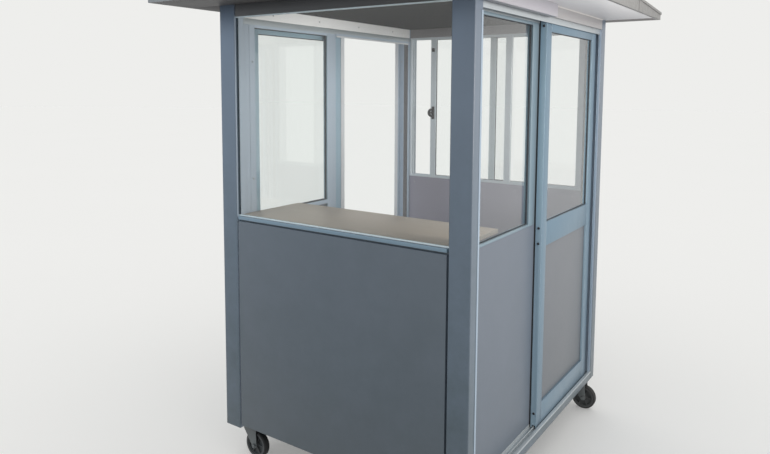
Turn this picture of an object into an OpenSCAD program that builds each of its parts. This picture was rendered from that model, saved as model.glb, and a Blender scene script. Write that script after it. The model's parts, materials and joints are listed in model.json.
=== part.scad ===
// Mobile guard booth: posts and sandwich walls on a base frame with four swivel casters, a
// glazed front over a counter, a sliding window at the rear, a fixed leaf and a sliding door
// on each side and a canopy roof pitched to the rear. Front faces -Y, units are millimetres.

/* [Body] */
// Outside width over the corner posts
body_w = 1250; // [1100:10:1600]
// Outside depth over the corner posts
body_d = 1500; // [1300:10:2000]
// Height from the underside of the base frame to the soffit
body_h = 1914; // [1850:2:2200]
// Face width of a corner post
post_w = 90; // [80:1:110]
// Depth of a corner post and thickness of the walls
post_d = 60; // [50:1:75]
// Wall of a post tube
post_wall = 2; // [1.5:0.5:4]
// Radius of a post's corners
post_r = 4; // [3:0.5:8]
// Height of the header beams over the openings
header_h = 51; // [45:1:70]

/* [Base] */
// Height of the base beams
base_h = 42; // [36:1:60]
// Width of the base beams
beam_w = 50; // [40:1:70]
// Thickness of the floor deck
deck_t = 15; // [9:1:25]

/* [Walls] */
// Height of the wall panels' feet above the underside of the base frame
panel_lift = 17; // [5:1:30]
// Width of the shadow groove round a panel
groove_w = 8; // [4:1:12]
// Depth of the shadow groove
groove_d = 15; // [6:1:20]
// Height of the front sill above the underside of the base frame
sill_h = 988; // [850:1:1100]
// Height of the front sill rail
sill_rail_h = 15; // [12:1:40]
// Depth of the front sill rail
sill_rail_d = 34; // [30:1:40]

/* [Counter] */
// Reach of the counter from the inside of the front wall
counter_d = 350; // [250:10:450]
// Thickness of the counter
counter_t = 18; // [15:1:30]
// Reach of a counter bracket
bracket_d = 260; // [150:10:300]
// Height of a counter bracket
bracket_h = 200; // [120:10:260]

/* [Profiles] */
// Wall of the aluminium profiles
bar_wall = 2; // [1.5:0.1:3]
// Depth of the lips round the door opening
jamb_lip = 15; // [10:1:20]

/* [Glass] */
// Thickness of every pane and of the door infill
glass_t = 5; // [4:1:6]
// Depth to which a pane enters its frame
glass_in = 8; // [6:1:10]
// Width of the glazing bars beside the front pane
front_bar = 20; // [16:1:30]

/* [Windows] */
// Thickness of a sliding sash
sash_t = 18; // [16:1:20]
// Face width of a sash stile
sash_stile = 37; // [32:1:60]
// Height of a sash's bottom rail
sash_bottom = 34; // [28:1:50]
// Height of a sash's top rail
sash_top = 26; // [22:1:50]
// Height of a window frame's sill
frame_sill = 25; // [20:1:40]
// Height of a window frame's head
frame_head = 36; // [20:1:40]
// Height of the outer lip of a window frame
frame_lip = 8; // [4:1:12]
// Height of the rear window's sill above the underside of the base frame
rear_sill_h = 1019; // [850:1:1060]
// Opening of the rear window's left sash
rear_step = 105; // [0:5:300]

/* [Door] */
// Setback of the door tracks from the side faces
door_set = 10.5; // [8:0.5:16]
// Share of the opening that a sliding door fills, in percent
door_share = 51; // [46:1:54]
// How far the left door stands open, at most to its front stop
left_open = 580; // [0:5:600]
// Thickness of the door leaves
door_t = 28; // [26:1:34]
// Face width of a door stile
door_stile = 58; // [45:1:70]
// Face width of the fixed leaf's meeting stile
fixed_stile = 70; // [50:1:80]
// Height of the bottom rail
door_bottom = 102; // [80:1:120]
// Height of the middle rail
door_mid = 107; // [60:1:130]
// Height of the middle rail above the underside of the base frame
door_mid_h = 862; // [700:1:950]
// Height of the top rail
door_top = 52; // [44:1:70]
// Running gap on each side of the sliding door
run_gap = 5; // [5:0.5:8]

/* [Roof] */
// Overhang on the left
roof_left = 185; // [100:1:300]
// Overhang on the right
roof_right = 244; // [100:1:300]
// Overhang at the front
roof_front = 232; // [100:1:300]
// Overhang at the rear
roof_rear = 113; // [80:1:300]
// Height of the fascia at the front
fascia_front = 140; // [80:1:220]
// Height of the fascia at the rear
fascia_rear = 26; // [20:1:80]
// Thickness of the roof deck
roof_t = 12; // [8:1:30]

/* [Casters] */
// Diameter of a wheel
wheel_d = 125; // [100:1:150]
// Width of a wheel
wheel_w = 32; // [26:1:40]
// Distance of a caster from the outer faces of the body
caster_in = 75; // [70:1:100]
// Trail of the wheel behind the swivel axis
trail = 50; // [40:1:60]
// Diameter of the axles and kingpins
pin_d = 12; // [10:1:14]

/* [Hidden] */

slate = "#68727d";
wall_grey = "#5c636b";
alu = "#9fb0bd";
pale_alu = "#c6cbd0";
steel = "#8a8f94";
clear = "#b8d0d8";
infill = "#8b8d94";

// joint between butted bars, seat of a pane or of a fixed part, fit of a shaft in its bore
joint = 0.2;
seat = 0.3;
bore_gap = 0.05;

hw = body_w / 2;
hd = body_d / 2;
side_y = hd - post_d;
bay_x = hw - post_w;

// the centre of the roof is the origin, the body stands off it by the uneven overhangs
body_x = (roof_left - roof_right) / 2;
body_y = (roof_front - roof_rear) / 2;

// casters: wheel, crown and plate stack up to the underside of the base
plate_t = 4;
plate_x = 100;
plate_y = 86;
head_gap = 0.5;
head_h = 13;
head_r = 29;
wheel_gap = 15;
base_z = wheel_d + wheel_gap + head_h + head_gap + plate_t + 0.5;
caster_x = hw - caster_in;
caster_y = hd - caster_in;

// levels
base_top = base_z + base_h;
panel_z = base_z + panel_lift;
sill_z = base_z + sill_h;
wall_top = sill_z - sill_rail_h;
counter_z = wall_top + counter_t;
soffit_z = base_z + body_h;
header_z = soffit_z - header_h;
rear_sill_z = base_z + rear_sill_h;

// right side, counted inwards from the side face, and mirrored to the left
track_t = 2.5;
door_x = hw - door_set - track_t - run_gap;
fin_x = door_x - door_t - run_gap;
fixed_x = fin_x - track_t - seat;
track_in = fixed_x - door_t - seat - track_t;
shelf_drop = 15;
shelf_z = base_top - shelf_drop;
ledge_t = 2;
lip_w = door_set - 3;
head_flange = 26;
jamb_t = jamb_lip;
inner_y = side_y - jamb_t;

// fixed leaf and sliding door, the right one drawn closed and the left one open
door_gap_rear = 25;
leaf_lap = 6;
door_w = 2 * inner_y * door_share / 100;
door_y1 = inner_y - door_gap_rear;
door_y0 = door_y1 - door_w;
door_z = shelf_z + track_t + run_gap;
door_h = header_z - track_t - run_gap - door_z;
stop_gap = 45;
left_slide = min(left_open, door_y0 + inner_y - stop_gap);
mid_z = base_z + door_mid_h - door_z;
fixed_y0 = -side_y + track_t + seat;
fixed_w = door_y0 + leaf_lap - fixed_y0;
fixed_z = shelf_z + track_t + seat;
fixed_h = header_z - track_t - seat - fixed_z;
fixed_mid = 20;
fixed_mid_z = sill_z - 34 - fixed_z;
fixed_top = 35;
fixed_bottom = 25;
roller_d = 24;
roller_w = 10;
roller_groove = 2;
rib_w = 4;
rib_h = 10;
notch_w = rib_w + 2 * run_gap + 0.4;
notch_h = rib_h + 0.4;
roller_z = rib_h + seat + roller_d / 2 - roller_groove - run_gap;
foot_h = roller_z + roller_d / 2 + 2;

module on_body() { translate([body_x, body_y, 0]) children(); }

// a child drawn on the right side, and its mirror image on the left
module both_sides() { on_body() for (m = [0, 1]) mirror([m, 0, 0]) children(); }

// box from its low corner to its high corner
module span(a, b) { translate(a) cube(b - a); }

// ---- sections shared by the leaves and the sashes ----

slot_w = glass_t + 2 * seat;
slot_d = glass_in + 1;

// section of a hollow bar, face width w along y, outer face on x = 0, with glazing slots
// in its low and high edge, or a wide channel in its low edge, and a chamber between them
module bar_section(w, t, slot_low, slot_high, channel = 0) {
    low = bar_wall + (slot_low ? slot_d : 0) + channel;
    high = w - bar_wall - (slot_high ? slot_d : 0);
    difference() {
        translate([-t, 0]) square([t, w]);
        if (slot_low) translate([-t / 2 - slot_w / 2, -1]) square([slot_w, slot_d + 1]);
        if (slot_high) translate([-t / 2 - slot_w / 2, w - slot_d]) square([slot_w, slot_d + 1]);
        if (high - low > 4) translate([-t + bar_wall, low])
            square([t - 2 * bar_wall, high - low]);
        if (channel > 0) translate([-t + bar_wall, -1])
            square([t - 2 * bar_wall, channel + 1]);
    }
}

module stile(w, t, l, slot_low = false, slot_high = false) {
    linear_extrude(l) bar_section(w, t, slot_low, slot_high);
}

module rail(h, t, l, slot_low = false, slot_high = false, channel = 0) {
    translate([0, l, 0]) rotate([90, 0, 0]) linear_extrude(l)
        bar_section(h, t, slot_low, slot_high, channel);
}

// leaf of two stiles a and b with the rails butted between them, foot is the channel under
// its bottom rail, guided leaves have slots along their lower and upper edges too
module leaf(w, h, t, a, b, bottom, top, mid = 0, mid_z = 0, foot = 0, guided = false) {
    l = w - a - b - 2 * joint;
    stile(a, t, h, slot_high = true);
    translate([0, w - b, 0]) stile(b, t, h, slot_low = true);
    translate([0, a + joint, 0]) {
        rail(bottom, t, l, slot_low = guided, slot_high = true, channel = foot);
        translate([0, 0, h - top]) rail(top, t, l, slot_low = true, slot_high = guided);
        if (mid > 0) translate([0, 0, mid_z]) rail(mid, t, l, slot_low = true, slot_high = true);
    }
}

// pane of a leaf, z0 and z1 are the edges of its clear opening
module pane(w, t, a, b, z0, z1) {
    span([-t / 2 - glass_t / 2, a - glass_in, z0 - glass_in],
        [-t / 2 + glass_t / 2, w - b + glass_in, z1 + glass_in]);
}

// board in the XZ plane with its face on y = 0, cut back at its ends and along its top
// to make the shadow groove
module grooved_board(w, h, t, top_groove) {
    difference() {
        cube([w, t, h]);
        translate([-1, -1, -1]) cube([groove_w + 1, groove_d + 1, h + 2]);
        translate([w - groove_w, -1, -1]) cube([groove_w + 1, groove_d + 1, h + 2]);
        if (top_groove) translate([-1, -1, h - groove_w])
            cube([w + 2, groove_d + 1, groove_w + 1]);
    }
}

// ---- base and floor ----

joist_w = 40;

module beam_tube(l, w, h) {
    rotate([90, 0, 90]) linear_extrude(l) difference() {
        square([w, h]);
        translate([2, 2]) square([w - 4, h - 4]);
    }
}

// two end beams and two joists under the deck
module base_frame() {
    color(slate) on_body() {
        for (y = [-side_y, side_y - beam_w]) translate([-track_in, y, base_z])
            beam_tube(2 * track_in, beam_w, base_h);
        for (y = [-1, 1] * body_d / 6) translate([-track_in, y - joist_w / 2, base_z])
            beam_tube(2 * track_in, joist_w, base_h - deck_t);
    }
}

// the side beams carry the sill tracks on a shelf behind their outer lips
module base_sides() {
    color(slate) both_sides() translate([0, side_y, base_z]) rotate([90, 0, 0])
        linear_extrude(2 * side_y) difference() {
            polygon([[track_in, 0], [hw, 0], [hw, base_h], [hw - lip_w, base_h],
                [hw - lip_w, base_h - shelf_drop], [track_in, base_h - shelf_drop]]);
            translate([track_in + 3, 3]) square([hw - track_in - 6, base_h - shelf_drop - 6]);
        }
}

module floor_deck() {
    color("#8d8f8e") on_body() span([-track_in, -side_y + beam_w, base_top - deck_t],
        [track_in, side_y - beam_w, base_top]);
}

// ---- posts, walls and headers ----

// rectangle round the origin with its corners rounded
module round_square(w, d, r) {
    square([w - 2 * r, d], center = true);
    square([w, d - 2 * r], center = true);
    for (x = [-1, 1], y = [-1, 1]) translate([x * (w / 2 - r), y * (d / 2 - r)])
        circle(r = r, $fn = 32);
}

// tubes with a closed foot
module posts() {
    bore = 2 * post_wall;
    foot_t = 3;
    color(slate) on_body() for (x = [-1, 1], y = [-1, 1])
        translate([x * (hw - post_w / 2), y * (hd - post_d / 2), base_z]) {
            linear_extrude(foot_t) round_square(post_w, post_d, post_r);
            linear_extrude(body_h) difference() {
                round_square(post_w, post_d, post_r);
                round_square(post_w - bore, post_d - bore, post_r - post_wall);
            }
        }
}

module front_wall() {
    color(wall_grey) on_body() translate([-bay_x, -hd, panel_z])
        grooved_board(2 * bay_x, wall_top - panel_z, post_d, true);
}

module rear_wall() {
    color(wall_grey) on_body() translate([bay_x, hd, panel_z]) rotate(180)
        grooved_board(2 * bay_x, rear_sill_z - panel_z, post_d, true);
}

module sill_rail() {
    color(slate) on_body() translate([-bay_x, -hd, wall_top])
        grooved_board(2 * bay_x, sill_rail_h, sill_rail_d, false);
}

module header_ends() {
    color(slate) on_body() for (a = [0, 180]) rotate(a) translate([-bay_x, -hd, header_z])
        grooved_board(2 * bay_x, header_h, post_d, false);
}

module header_sides() {
    color(slate) both_sides() span([track_in, -side_y, header_z], [hw, side_y, soffit_z]);
}

// ---- front glazing and counter ----

pane_y = -hd + 16;
bead_t = 7;

// side bars and beads round the front pane, which enters all four of them
module front_glazing_bars() {
    in = 5;
    color(pale_alu) on_body() {
        for (s = [-1, 1]) difference() {
            span([s * bay_x - (s > 0 ? front_bar : 0), -hd + 2, sill_z],
                [s * bay_x + (s > 0 ? 0 : front_bar), -hd + sill_rail_d - 2, header_z]);
            translate([s * (bay_x - front_bar) - in, pane_y - slot_w / 2, sill_z - 1])
                cube([2 * in, slot_w, header_z - sill_z + 2]);
        }
        for (z = [sill_z, header_z - bead_t]) difference() {
            span([-bay_x + front_bar + joint, -hd + 5, z],
                [bay_x - front_bar - joint, -hd + sill_rail_d - 5, z + bead_t]);
            translate([-bay_x, pane_y - slot_w / 2, z + (z > sill_z ? -1 : bead_t - in)])
                cube([2 * bay_x, slot_w, in + 1]);
        }
    }
}

module front_glass() {
    in = 4.7;
    color(clear, 0.3) on_body()
        span([-bay_x + front_bar - in, pane_y - glass_t / 2, sill_z + bead_t - in],
            [bay_x - front_bar + in, pane_y + glass_t / 2, header_z - bead_t + in]);
}

module counter_top() {
    right = min(bay_x, track_in) - seat;
    color("#b4a894") on_body() span([-right, -hd + sill_rail_d + seat, wall_top],
        [right, -side_y + counter_d, counter_z]);
}

module counter_brackets() {
    t = 25;
    color(steel) on_body() for (x = [-0.8, 0, 0.8] * bay_x)
        translate([x - t / 2, -side_y, wall_top - bracket_h])
            rotate([90, 0, 90]) linear_extrude(t) polygon([[0, 0], [30, 0],
                [bracket_d, bracket_h - 30], [bracket_d, bracket_h], [0, bracket_h]]);
}

// ---- rear window: a frame of four bars with two sashes on its two tracks ----
// drawn in the YZ plane with the outer face on x = 0, then turned to the rear

module on_rear() { on_body() translate([bay_x, hd, rear_sill_z]) rotate(90) children(); }

rear_w = 2 * bay_x;
rear_h = header_z - rear_sill_z;
rear_bar = 35;
sash_lift = 1;
rear_sash_w = (rear_w - 2 * rear_bar + sash_stile) / 2 - seat;
rear_sash_h = rear_h - frame_sill - frame_head - 2 * sash_lift;

// sashes stand a little off the sill and reach over its ribs
sash_z = frame_sill + sash_lift;
lip_t = 3;
guide_t = 2;
guide_h = slot_d + sash_lift - seat;
sash_out_x = -lip_t - run_gap;
sash_in_x = sash_out_x - sash_t - run_gap;

module frame_lip_section() { translate([-lip_t, 0]) square([lip_t, frame_lip]); }

// section of a frame bar of face width w, outer face on x = 0, opening side at y = w
module frame_section(w) {
    difference() {
        translate([-post_d, 0]) square([post_d, w]);
        translate([-post_d + bar_wall, bar_wall]) square([post_d - 2 * bar_wall, w - 2 * bar_wall]);
    }
}

// sill or head: frame section with the outer lip and a guide rib for each sash
module guide_section(w) {
    frame_section(w);
    translate([0, w]) frame_lip_section();
    for (x = [sash_out_x, sash_in_x]) translate([x - sash_t / 2 - guide_t / 2, w - bar_wall])
        square([guide_t, guide_h + bar_wall]);
}

// the lips of the jambs end at those of the sill and the head
module window_frames() {
    l = rear_w - 2 * rear_bar - 2 * joint;
    lip_z = frame_sill + frame_lip + joint;
    lip_l = rear_h - lip_z - frame_head - frame_lip - joint;
    color(pale_alu) on_rear() {
        for (side = [0, 1]) translate([0, side * rear_w, 0]) mirror([0, side, 0]) {
            linear_extrude(rear_h) frame_section(rear_bar);
            translate([0, rear_bar, lip_z]) linear_extrude(lip_l) frame_lip_section();
        }
        translate([0, rear_bar + joint + l, 0]) rotate([90, 0, 0]) {
            linear_extrude(l) guide_section(frame_sill);
            translate([0, rear_h, 0]) mirror([0, 1, 0]) linear_extrude(l)
                guide_section(frame_head);
        }
    }
}

// the right sash is shut, the left one stands open by the rear step
module at_sashes() {
    on_rear() {
        translate([sash_out_x, rear_bar + seat, sash_z]) children();
        translate([sash_in_x, rear_w - rear_bar - seat - rear_sash_w - rear_step, sash_z])
            children();
    }
}

module window_sashes() {
    w = rear_sash_w;
    h = rear_sash_h;
    color(pale_alu) at_sashes() difference() {
        leaf(w, h, sash_t, sash_stile, sash_stile, sash_bottom, sash_top, guided = true);
        for (z = [-1, h - slot_d]) translate([-sash_t / 2 - slot_w / 2, -1, z])
            cube([slot_w, w + 2, slot_d + 1]);
    }
}

module window_glass() {
    color(clear, 0.3) at_sashes()
        pane(rear_sash_w, sash_t, sash_stile, sash_stile, sash_bottom, rear_sash_h - sash_top);
}

// ---- sides: tracks, fixed leaves and sliding doors ----

// a section drawn in XZ, extruded along the whole opening
module along_side() {
    translate([0, side_y, 0]) rotate([90, 0, 0]) linear_extrude(2 * side_y) children();
}

track_out = hw - door_set;

// section of a track of depth d opening to -y: a web with three fins
module track_section(d) {
    translate([track_in, -track_t]) square([track_out - track_in, track_t]);
    for (x = [track_in, fin_x - track_t, track_out - track_t])
        translate([x, -d]) square([track_t, d]);
}

module head_track() {
    color(alu) both_sides() translate([0, 0, header_z]) along_side()
        track_section(head_flange);
}

rib_x = door_x - door_t / 2 - rib_w / 2;
lip_gap = door_set - lip_w + 1;

// track in the sill with the rib that the rollers run on, its outer fin turned out to a
// ledge with a drip lip
module sill_track() {
    lip_h = 5;
    color(alu) both_sides() translate([0, 0, shelf_z]) along_side() {
        mirror([0, 1]) track_section(shelf_drop + ledge_t);
        translate([track_out - 1, 0]) square([lip_gap, track_t]);
        translate([track_out - track_t, shelf_drop]) square([door_set + track_t + 2, ledge_t]);
        translate([hw, shelf_drop - lip_h]) square([2, lip_h + ledge_t]);
        translate([rib_x, 0]) square([rib_w, track_t + rib_h]);
    }
}

module door_jambs() {
    z0 = base_top + ledge_t + joint;
    z1 = header_z - head_flange - joint;
    color(alu) both_sides() for (a = [0, 1]) mirror([0, a, 0]) translate([0, side_y, z0])
        linear_extrude(z1 - z0) track_section(jamb_t);
}

module on_fixed() { both_sides() translate([fixed_x, fixed_y0, fixed_z]) children(); }

module fixed_leaf_frame() {
    color(alu) on_fixed() leaf(fixed_w, fixed_h, door_t, fixed_stile, fixed_stile,
        fixed_bottom, fixed_top, fixed_mid, fixed_mid_z);
}

module fixed_leaf_glass() {
    color(clear, 0.3) on_fixed()
        pane(fixed_w, door_t, fixed_stile, fixed_stile, fixed_mid_z + fixed_mid, fixed_h - fixed_top);
}

module fixed_leaf_panel() {
    color(infill) on_fixed()
        pane(fixed_w, door_t, fixed_stile, fixed_stile, fixed_bottom, fixed_mid_z);
}

module at_door() { translate([door_x, door_y0, door_z]) children(); }
module on_door() { on_body() at_door() children(); }
module on_left_door() {
    on_body() mirror([1, 0, 0]) translate([0, -left_slide, 0]) at_door() children();
}

// the bottom rail is open underneath for the rollers and the stiles are notched for the rib
module leaf_frame() {
    color(alu) difference() {
        leaf(door_w, door_h, door_t, door_stile, door_stile, door_bottom, door_top, door_mid,
            mid_z, foot = foot_h);
        translate([-door_t / 2 - notch_w / 2, -1, -1]) cube([notch_w, door_w + 2, notch_h + 1]);
    }
}

module leaf_glass() {
    color(clear, 0.3)
        pane(door_w, door_t, door_stile, door_stile, mid_z + door_mid, door_h - door_top);
}

module leaf_panel() {
    color(infill) pane(door_w, door_t, door_stile, door_stile, door_bottom, mid_z);
}

// section of a roller that is grooved for the rib
module roller_section() {
    r = roller_d / 2;
    core = r - roller_groove;
    mouth = rib_w / 2 + 2;
    polygon([[0, -roller_w / 2], [r, -roller_w / 2], [r, -mouth], [core, 1 - mouth],
        [core, mouth - 1], [r, mouth], [r, roller_w / 2], [0, roller_w / 2]]);
}

// a block that fills the rail's channel, with its roller between two bosses on the pin
module roller_block() {
    w = door_t - 2 * bar_wall - 2 * seat;
    l = 64;
    h = 16;
    boss_t = 5;
    pin = 6;
    difference() {
        translate([-w / 2, -l / 2, foot_h - seat - roller_z - h]) cube([w, l, h]);
        cube([roller_w + 4, roller_d + 4, 2 * roller_d], center = true);
    }
    rotate([0, 90, 0]) {
        rotate_extrude($fn = 64) roller_section();
        cylinder(d = pin, h = w - 4, center = true, $fn = 32);
    }
    for (s = [-1, 1]) translate([s * (w - boss_t) / 2, 0, 0])
        cube([boss_t, 2 * pin, 2 * pin], center = true);
}

module leaf_rollers() {
    color(steel) for (y = [0.2, 0.8] * door_w) translate([-door_t / 2, y, roller_z])
        roller_block();
}

module door_frame() { on_door() leaf_frame(); }
module door_glass() { on_door() leaf_glass(); }
module door_panel() { on_door() leaf_panel(); }
module door_rollers() { on_door() leaf_rollers(); }

module left_door_frame() { on_left_door() leaf_frame(); }
module left_door_glass() { on_left_door() leaf_glass(); }
module left_door_panel() { on_left_door() leaf_panel(); }
module left_door_rollers() { on_left_door() leaf_rollers(); }

pelmet_t = 28;
pelmet_l = 0.473 * body_d;
pelmet_drop = 4;

// box section over the right fixed leaf
module door_pelmet() {
    wall = 2;
    h = header_h + pelmet_drop;
    color(slate) on_body() translate([hw, -hd + pelmet_l, soffit_z - h]) rotate([90, 0, 0])
        linear_extrude(pelmet_l) difference() {
            square([pelmet_t, h]);
            translate([wall, wall]) square([pelmet_t - 2 * wall, h - 2 * wall]);
        }
}

// ---- roof: soffit and ceiling boards, fascia and ribs under one pitched deck ----

soffit_t = 8;
fascia_t = 12;
rib_t = 35;
ex = [-hw - roof_left, hw + roof_right];
ey = [-hd - roof_front, hd + roof_rear];
pitch = (fascia_front - fascia_rear) / (ey[1] - ey[0]);

// height of the deck's underside over the soffit
function rise(y) = fascia_rear + pitch * (ey[1] - y);

// board from x0 to x1 and y0 to y1, filling the height under the deck
module under_deck(x0, x1, y0, y1) {
    translate([x0, 0, soffit_z]) rotate([90, 0, 90]) linear_extrude(x1 - x0)
        polygon([[y0, 0], [y1, 0], [y1, rise(y1)], [y0, rise(y0)]]);
}

module soffit() {
    color("#c9cbcc") on_body() {
        for (y = [[ey[0] + fascia_t, -hd], [hd, ey[1] - fascia_t]])
            span([ex[0] + fascia_t, y[0], soffit_z], [ex[1] - fascia_t, y[1], soffit_z + soffit_t]);
        for (x = [[ex[0] + fascia_t, -hw], [hw, ex[1] - fascia_t]])
            span([x[0], -hd + joint, soffit_z], [x[1], hd - joint, soffit_z + soffit_t]);
    }
}

module ceiling() {
    color("#b9bcbd") on_body() span([-hw + rib_t, -hd + rib_t, soffit_z],
        [hw - rib_t, hd - rib_t, soffit_z + soffit_t]);
}

module fascia() {
    color("#8b9095") on_body() {
        for (x = [ex[0], ex[1] - fascia_t]) under_deck(x, x + fascia_t, ey[0], ey[1]);
        for (y = [ey[0], ey[1] - fascia_t])
            under_deck(ex[0] + fascia_t + joint, ex[1] - fascia_t - joint, y, y + fascia_t);
    }
}

module roof_ribs() {
    color("#7a8086") on_body() {
        for (x = [-hw, hw - rib_t]) under_deck(x, x + rib_t, -hd, hd);
        for (y = [-hd, hd - rib_t])
            under_deck(-hw + rib_t + joint, hw - rib_t - joint, y, y + rib_t);
    }
}

module roof_deck() {
    over = 4;
    y0 = ey[0] - over;
    y1 = ey[1] + over;
    color("#a9aeb2") on_body() translate([ex[0] - over, 0, soffit_z]) rotate([90, 0, 90])
        linear_extrude(ex[1] - ex[0] + 2 * over)
            polygon([[y0, rise(y0)], [y1, rise(y1)], [y1, rise(y1) + roof_t],
                [y0, rise(y0) + roof_t]]);
}

// ---- casters ----

crown_z = base_z - plate_t - head_gap - head_h;
nut_h = 7;

module caster_at(sx, sy) { on_body() translate([sx * caster_x, sy * caster_y, 0]) children(); }

// plates under the base with their kingpins, each held by a nut under the fork's crown
module caster_plates() {
    color(steel) for (sx = [-1, 1], sy = [-1, 1]) caster_at(sx, sy) {
        translate([0, 0, base_z - plate_t]) linear_extrude(plate_t)
            round_square(plate_x, plate_y, 10);
        translate([0, 0, crown_z - head_gap - 1])
            cylinder(d = pin_d, h = head_gap + head_h + head_gap + 2, $fn = 48);
        translate([0, 0, crown_z - head_gap - nut_h]) cylinder(d = pin_d + 8, h = nut_h, $fn = 6);
    }
}

fork_t = 3;
fork_gap = 5;
fork_in = wheel_w / 2 + fork_gap;
fork_out = fork_in + fork_t;
axle_z = wheel_d / 2;
eye_r = 14;

// where the tangent from p meets the circle of radius r round c, on the side s of the
// line from p to c
function tangent(p, c, r, s) = let (v = p - c, d = norm(v), a = s * acos(r / d))
    c + r / d * [v[0] * cos(a) - v[1] * sin(a), v[0] * sin(a) + v[1] * cos(a)];

// race housing of the crown, turned about the kingpin
module fork_head() {
    bore = pin_d / 2 + bore_gap;
    rim = head_r - 3;
    rotate_extrude($fn = 96) polygon([[bore, 0], [rim, 0], [rim, 4], [head_r, 5.5],
        [head_r, 9.5], [rim, head_h], [bore, head_h]]);
}

// bridge of the fork in plan: round about the kingpin and straight over the wheel
module fork_bridge(front) {
    difference() {
        union() {
            circle(r = head_r, $fn = 96);
            translate([0, -fork_out]) square([front, 2 * fork_out]);
        }
        circle(r = pin_d / 2 + bore_gap, $fn = 48);
    }
}

// one leg of the fork, its straight edges run into the eye round the axle
module fork_leg(back, front) {
    top = crown_z + fork_t;
    eye = [trail, axle_z];
    drop = top - 12;
    linear_extrude(fork_t) {
        polygon([[back, top], [back, drop], tangent([back, drop], eye, eye_r, 1), eye,
            tangent([front, drop], eye, eye_r, -1), [front, drop], [front, top]]);
        translate(eye) circle(r = eye_r, $fn = 96);
    }
}

// swivel fork: race housing, bridge, two legs and the axle bolt between its head and nut
module fork(sx, sy) {
    back = -16;
    front = trail + 10;
    nut_t = 8;
    color(steel) caster_at(sx, sy) {
        translate([0, 0, crown_z]) {
            fork_head();
            linear_extrude(fork_t) fork_bridge(front);
        }
        for (y = [-fork_in, fork_out]) translate([0, y, 0]) rotate([90, 0, 0])
            fork_leg(back, front);
        translate([trail, 0, axle_z]) rotate([90, 0, 0]) {
            cylinder(d = pin_d, h = 2 * fork_out + 4, center = true, $fn = 48);
            for (s = [-1, 1]) translate([0, 0, s * (fork_out + nut_t / 2)])
                cylinder(d = pin_d + 8, h = nut_t, center = true, $fn = 6);
        }
    }
}

// tyre round a ribbed hub, turned about the axle
module wheel(sx, sy) {
    r = wheel_d / 2;
    w = wheel_w / 2;
    tread_t = 15;
    rim_t = 4;
    rim_r = r - tread_t;
    rim_w = w - 3;
    web = 3;
    hub_r = 15;
    hub_w = w + fork_gap - 1;
    bore_r = pin_d / 2 + bore_gap;
    round_r = 7;
    ribs = 6;
    color("#1d1f20") caster_at(sx, sy) translate([trail, 0, axle_z]) rotate([90, 0, 0]) {
        rotate_extrude($fn = 96) {
            translate([bore_r, -hub_w]) square([hub_r - bore_r, 2 * hub_w]);
            translate([hub_r - 1, -web]) square([rim_r - hub_r + 2, 2 * web]);
            translate([rim_r - rim_t, -rim_w]) square([rim_t + 1, 2 * rim_w]);
            translate([rim_r, -w + round_r]) square([r - rim_r, 2 * (w - round_r)]);
            translate([rim_r, -w]) square([r - round_r - rim_r, 2 * w]);
            for (s = [-1, 1]) translate([r - round_r, s * (w - round_r)])
                circle(r = round_r, $fn = 48);
        }
        for (a = [0:ribs - 1]) rotate(a * 360 / ribs) translate([hub_r - 1, -2, 1 - rim_w])
            cube([rim_r - rim_t - hub_r + 2, 4, 2 * rim_w - 2]);
    }
}

base_frame();
base_sides();
floor_deck();
posts();
front_wall();
rear_wall();
sill_rail();
header_ends();
header_sides();
ceiling();
front_glazing_bars();
front_glass();
counter_top();
counter_brackets();
window_frames();
window_sashes();
window_glass();
head_track();
sill_track();
door_jambs();
fixed_leaf_frame();
fixed_leaf_glass();
fixed_leaf_panel();
door_frame();
door_glass();
door_panel();
door_rollers();
left_door_frame();
left_door_glass();
left_door_panel();
left_door_rollers();
door_pelmet();
soffit();
fascia();
roof_ribs();
roof_deck();
caster_plates();
fork(-1, -1);  // fork_front_left
fork(1, -1);  // fork_front_right
fork(-1, 1);  // fork_rear_left
fork(1, 1);  // fork_rear_right
wheel(-1, -1);  // wheel_front_left
wheel(1, -1);  // wheel_front_right
wheel(-1, 1);  // wheel_rear_left
wheel(1, 1);  // wheel_rear_right
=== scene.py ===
"""Looks of a mobile guard booth: finishes, glazing seals, fittings, casters, light and camera."""
import json
import math

import bmesh
import bpy
from mathutils import Matrix, Vector

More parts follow.
